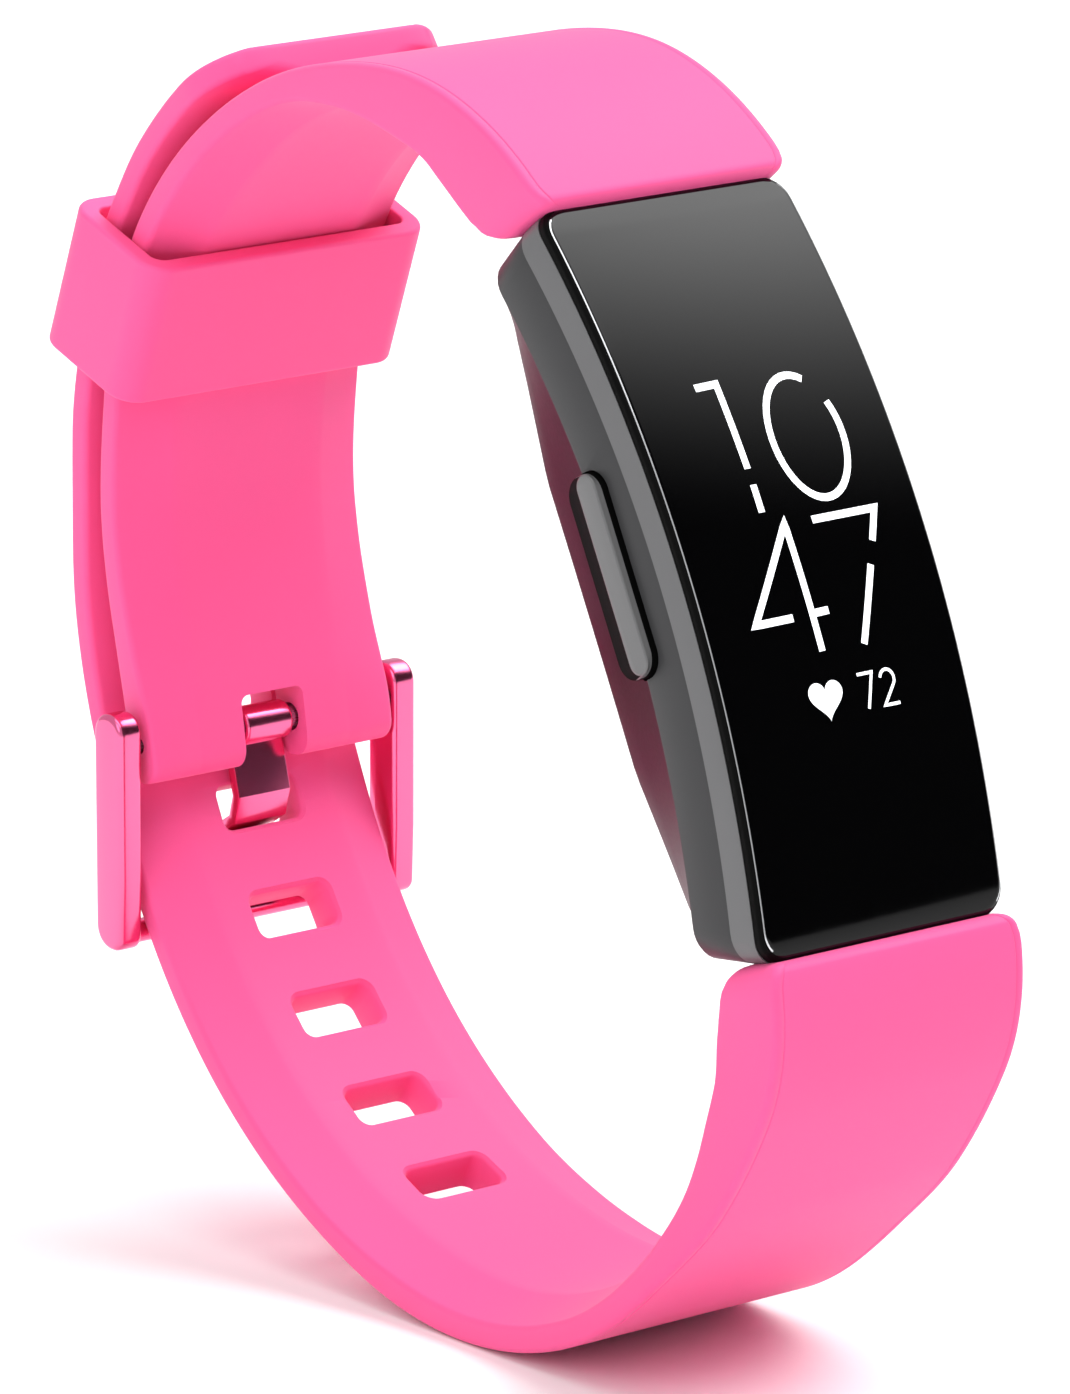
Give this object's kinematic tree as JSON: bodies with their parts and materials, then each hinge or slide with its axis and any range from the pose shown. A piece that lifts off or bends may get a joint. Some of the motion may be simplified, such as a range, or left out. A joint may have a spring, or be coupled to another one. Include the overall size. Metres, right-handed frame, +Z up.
{
  "type": "fitness tracker band",
  "caption": "Slim wrist fitness tracker with a curved glass display, a silicone strap in two halves, a tang buckle with punched holes and a keeper loop.",
  "frame": {"origin": "middle of the wrist opening, half way across the strap's width", "axes": "+X across the strap's width, away from the side button; -Y towards the display's side; +Z up, towards the display's top end"},
  "size_m": [0.0188, 0.0551, 0.0618],
  "materials": {
    "black_glass": "polished black cover glass",
    "sensor_glass": "polished dark lens",
    "charcoal_case": "satin charcoal",
    "maroon_cover": "smooth dark maroon",
    "pink_silicone": "matte silicone",
    "pink_metal": "polished pink coating",
    "steel": "fine brushed",
    "spring_steel": "drawn wire",
    "gold_contact": "plated",
    "circuit_board": "solder mask",
    "chip_black": "moulded",
    "led_lens": "clear lens",
    "battery_foil": "foil pouch",
    "display_layer": "dark display layer",
    "gasket_rubber": "adhesive foam",
    "button_metal": "satin"
  },
  "bodies": {
    "band": {"front_glass": "black_glass", "display_gasket": "gasket_rubber", "display_panel": "display_layer", "main_case": "charcoal_case", "rear_cover": "maroon_cover", "sensor_window": "sensor_glass", "sensor_board": "circuit_board", "upper_green_led": "led_lens", "lower_green_led": "led_lens", "photodiode": "chip_black", "left_charging_pin": "gold_contact", "right_charging_pin": "gold_contact", "mid_frame": "steel", "main_board": "circuit_board", "processor_chip": "chip_black", "radio_chip": "chip_black", "motion_sensor_chip": "chip_black", "battery": "battery_foil", "tact_switch": "steel", "vibration_motor_can": "steel", "upper_strap": "pink_silicone", "lower_strap": "pink_silicone", "upper_strap_connector": "steel", "lower_strap_connector": "steel", "upper_release_spring": "spring_steel", "lower_release_spring": "spring_steel", "buckle_bar_tube": "steel", "buckle_bar_spring": "spring_steel"},
    "button": {"side_button": "button_metal"},
    "keeper": {"keeper_loop": "pink_silicone"},
    "buckle": {"buckle_frame": "pink_metal"},
    "tang": {"buckle_tang": "pink_metal"},
    "left_tip": {"left_bar_tip": "steel"},
    "right_tip": {"right_bar_tip": "steel"},
    "upper_release": {"upper_release_pad": "steel"},
    "lower_release": {"lower_release_pad": "steel"},
    "vibration_rotor": {"vibration_weight": "steel"}
  },
  "joints": [
    {"name": "button_press", "type": "slide", "parent": "band", "child": "button", "axis": [1, 0, 0], "range_m": [0, 0.00035], "stiffness_N_per_m": 4000, "springref_m": -0.0001},
    {"name": "keeper_slide", "type": "hinge", "parent": "band", "child": "keeper", "pos_m": [0, -0.0015, 0.009], "axis": [1, 0, 0], "range_deg": [-12, 14]},
    {"name": "buckle_frame_pivot", "type": "hinge", "parent": "band", "child": "buckle", "pos_m": [0, 0.0183, -0.00535], "axis": [1, 0, 0], "range_deg": [0, 3.5]},
    {"name": "tang_pivot", "type": "hinge", "parent": "band", "child": "tang", "pos_m": [0, 0.0183, -0.00535], "axis": [1, 0, 0], "range_deg": [0, 3.5]},
    {"name": "left_tip_slide", "type": "slide", "parent": "band", "child": "left_tip", "axis": [1, 0, 0], "range_m": [0, 0.0014], "stiffness_N_per_m": 600, "springref_m": -0.0005, "deforming": ["buckle_bar_spring"]},
    {"name": "right_tip_slide", "type": "slide", "parent": "band", "child": "right_tip", "axis": [-1, 0, 0], "range_m": [0, 0.0014], "stiffness_N_per_m": 600, "springref_m": -0.0005, "deforming": ["buckle_bar_spring"]},
    {"name": "upper_release_press", "type": "slide", "parent": "band", "child": "upper_release", "axis": [0, -0.8934, 0.4493], "range_m": [0, 0.00035], "stiffness_N_per_m": 2000, "springref_m": -0.0001, "deforming": ["upper_release_spring"]},
    {"name": "lower_release_press", "type": "slide", "parent": "band", "child": "lower_release", "axis": [0, -0.8934, 0.4493], "range_m": [0, 0.00035], "stiffness_N_per_m": 2000, "springref_m": -0.0001, "deforming": ["lower_release_spring"]},
    {"name": "vibration_spin", "type": "hinge", "parent": "band", "child": "vibration_rotor", "pos_m": [0, -0.01275, 0.01727], "axis": [1, 0, 0], "continuous": true}
  ],
  "couplings": [
    {"joint": "tang_pivot", "follows": "buckle_frame_pivot", "ratio": 1}
  ]
}
